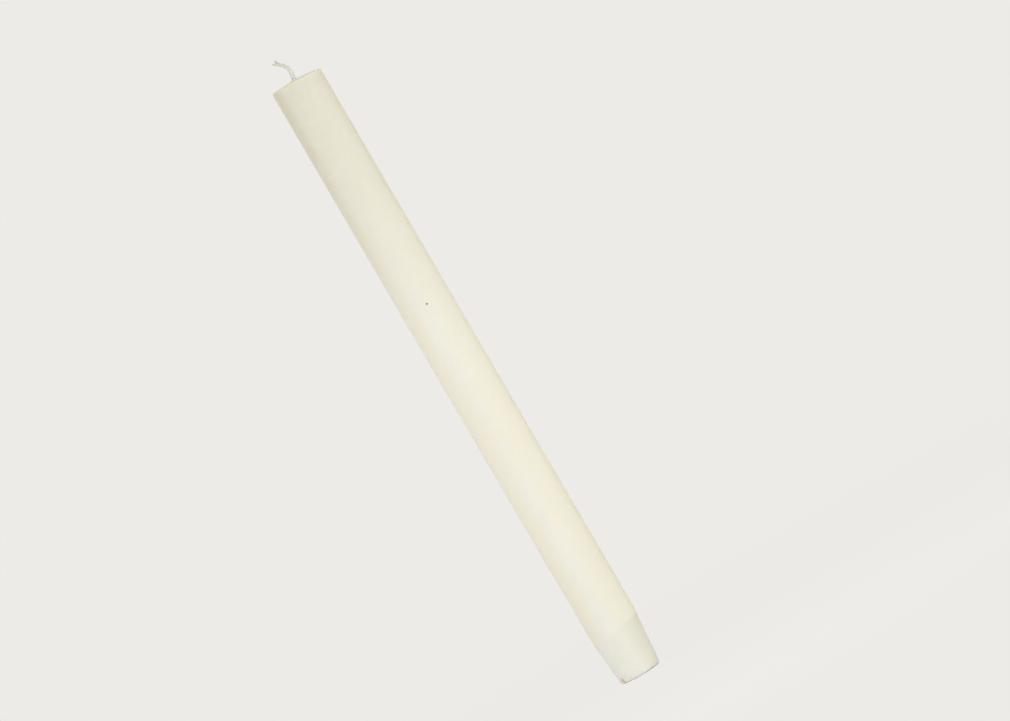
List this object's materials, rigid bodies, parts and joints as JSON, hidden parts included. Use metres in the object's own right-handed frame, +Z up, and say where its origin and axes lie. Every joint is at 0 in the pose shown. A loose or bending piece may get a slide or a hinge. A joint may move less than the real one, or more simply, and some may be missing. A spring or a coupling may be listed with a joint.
{
  "type": "taper candle",
  "caption": "Tall straight ivory wax candle with a tapered foot for a candle cup and a braided cotton wick that bends over at its free end.",
  "frame": {"origin": "middle of the foot's flat, on the body's axis", "axes": "+Z up the body towards the wick; +X to the right of somebody who sees the wick's free end bend away to the left, so the wick bends towards -X"},
  "size_m": [0.022, 0.022, 0.2873],
  "materials": {
    "wax": "pale ivory paraffin wax, extruded, with a soft satin skin; the foot is milled and a little greyer and duller",
    "wick_cotton": "braided cotton, lightly waxed, unburnt"
  },
  "bodies": {
    "root": {"wax_body": "wax", "wick": "wick_cotton"}
  },
  "joints": []
}
